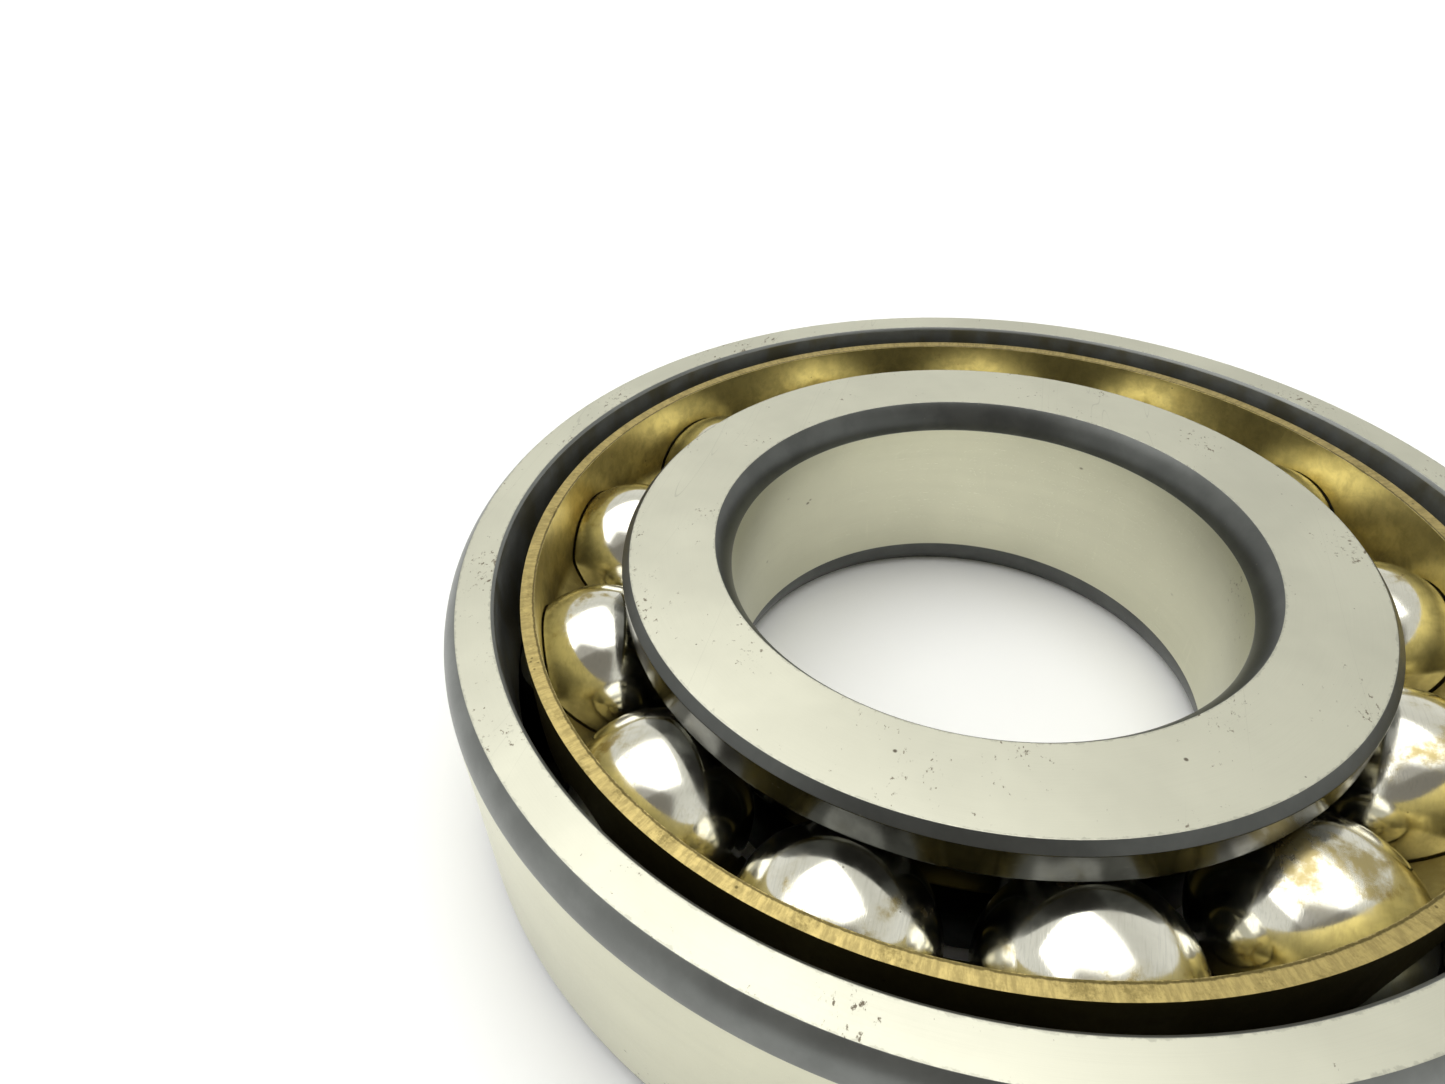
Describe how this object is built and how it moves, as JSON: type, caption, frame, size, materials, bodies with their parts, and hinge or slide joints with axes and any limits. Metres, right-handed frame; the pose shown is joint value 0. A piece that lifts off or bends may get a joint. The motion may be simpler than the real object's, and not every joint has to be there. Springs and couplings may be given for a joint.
{
  "type": "angular contact ball bearing",
  "caption": "Open single-row angular contact ball bearing: outer ring, inner ring, pressed brass window cage and steel balls, all turning as in use.",
  "frame": {"origin": "on the bearing axis, midway between the two ring faces", "axes": "+Z along the bearing axis, out of the open face (outer ring bored out, inner ring with its high shoulder); X and Y lie in the plane of the ball row"},
  "size_m": [0.19, 0.19, 0.043],
  "materials": {
    "ring_steel": "ground bearing steel with dark turned corners",
    "ball_steel": "lapped mirror steel with a thin film of old oil",
    "cage_brass": "satin pressed brass, aged"
  },
  "bodies": {
    "outer_ring": {"outer_ring": "ring_steel"},
    "inner_ring": {"inner_ring": "ring_steel"},
    "cage": {"cage": "cage_brass"},
    "ball_01": {"ball_01": "ball_steel"},
    "ball_02": {"ball_02": "ball_steel"},
    "ball_03": {"ball_03": "ball_steel"},
    "ball_04": {"ball_04": "ball_steel"},
    "ball_05": {"ball_05": "ball_steel"},
    "ball_06": {"ball_06": "ball_steel"},
    "ball_07": {"ball_07": "ball_steel"},
    "ball_08": {"ball_08": "ball_steel"},
    "ball_09": {"ball_09": "ball_steel"},
    "ball_10": {"ball_10": "ball_steel"},
    "ball_11": {"ball_11": "ball_steel"},
    "ball_12": {"ball_12": "ball_steel"},
    "ball_13": {"ball_13": "ball_steel"}
  },
  "joints": [
    {"name": "inner_spin", "type": "hinge", "parent": "outer_ring", "child": "inner_ring", "pos_m": [0, 0, 0], "axis": [0, 0, 1], "continuous": true},
    {"name": "cage_spin", "type": "hinge", "parent": "outer_ring", "child": "cage", "pos_m": [0, 0, 0], "axis": [0, 0, 1], "continuous": true},
    {"name": "ball_01_spin", "type": "hinge", "parent": "cage", "child": "ball_01", "pos_m": [0.06852, 0.01431, 0], "axis": [0.6292, 0.1314, 0.766], "continuous": true},
    {"name": "ball_02_spin", "type": "hinge", "parent": "cage", "child": "ball_02", "pos_m": [0.05402, 0.04452, 0], "axis": [0.496, 0.4088, 0.766], "continuous": true},
    {"name": "ball_03_spin", "type": "hinge", "parent": "cage", "child": "ball_03", "pos_m": [0.02714, 0.06452, 0], "axis": [0.2492, 0.5925, 0.766], "continuous": true},
    {"name": "ball_04_spin", "type": "hinge", "parent": "cage", "child": "ball_04", "pos_m": [-0.00595, 0.06975, 0], "axis": [-0.0546, 0.6405, 0.766], "continuous": true},
    {"name": "ball_05_spin", "type": "hinge", "parent": "cage", "child": "ball_05", "pos_m": [-0.03768, 0.05899, 0], "axis": [-0.346, 0.5417, 0.766], "continuous": true},
    {"name": "ball_06_spin", "type": "hinge", "parent": "cage", "child": "ball_06", "pos_m": [-0.06078, 0.03472, 0], "axis": [-0.5581, 0.3188, 0.766], "continuous": true},
    {"name": "ball_07_spin", "type": "hinge", "parent": "cage", "child": "ball_07", "pos_m": [-0.06996, 0.0025, 0], "axis": [-0.6424, 0.023, 0.766], "continuous": true},
    {"name": "ball_08_spin", "type": "hinge", "parent": "cage", "child": "ball_08", "pos_m": [-0.0631, -0.0303, 0], "axis": [-0.5795, -0.2782, 0.766], "continuous": true},
    {"name": "ball_09_spin", "type": "hinge", "parent": "cage", "child": "ball_09", "pos_m": [-0.0418, -0.05615, 0], "axis": [-0.3838, -0.5156, 0.766], "continuous": true},
    {"name": "ball_10_spin", "type": "hinge", "parent": "cage", "child": "ball_10", "pos_m": [-0.01091, -0.06914, 0], "axis": [-0.1002, -0.6349, 0.766], "continuous": true},
    {"name": "ball_11_spin", "type": "hinge", "parent": "cage", "child": "ball_11", "pos_m": [0.02247, -0.0663, 0], "axis": [0.2063, -0.6088, 0.766], "continuous": true},
    {"name": "ball_12_spin", "type": "hinge", "parent": "cage", "child": "ball_12", "pos_m": [0.05071, -0.04826, 0], "axis": [0.4656, -0.4432, 0.766], "continuous": true},
    {"name": "ball_13_spin", "type": "hinge", "parent": "cage", "child": "ball_13", "pos_m": [0.06732, -0.01917, 0], "axis": [0.6182, -0.176, 0.766], "continuous": true}
  ],
  "couplings": [
    {"joint": "cage_spin", "follows": "inner_spin", "ratio": 0.41748},
    {"joint": "ball_01_spin", "follows": "inner_spin", "ratio": -2.2575},
    {"joint": "ball_02_spin", "follows": "inner_spin", "ratio": -2.2575},
    {"joint": "ball_03_spin", "follows": "inner_spin", "ratio": -2.2575},
    {"joint": "ball_04_spin", "follows": "inner_spin", "ratio": -2.2575},
    {"joint": "ball_05_spin", "follows": "inner_spin", "ratio": -2.2575},
    {"joint": "ball_06_spin", "follows": "inner_spin", "ratio": -2.2575},
    {"joint": "ball_07_spin", "follows": "inner_spin", "ratio": -2.2575},
    {"joint": "ball_08_spin", "follows": "inner_spin", "ratio": -2.2575},
    {"joint": "ball_09_spin", "follows": "inner_spin", "ratio": -2.2575},
    {"joint": "ball_10_spin", "follows": "inner_spin", "ratio": -2.2575},
    {"joint": "ball_11_spin", "follows": "inner_spin", "ratio": -2.2575},
    {"joint": "ball_12_spin", "follows": "inner_spin", "ratio": -2.2575},
    {"joint": "ball_13_spin", "follows": "inner_spin", "ratio": -2.2575}
  ]
}
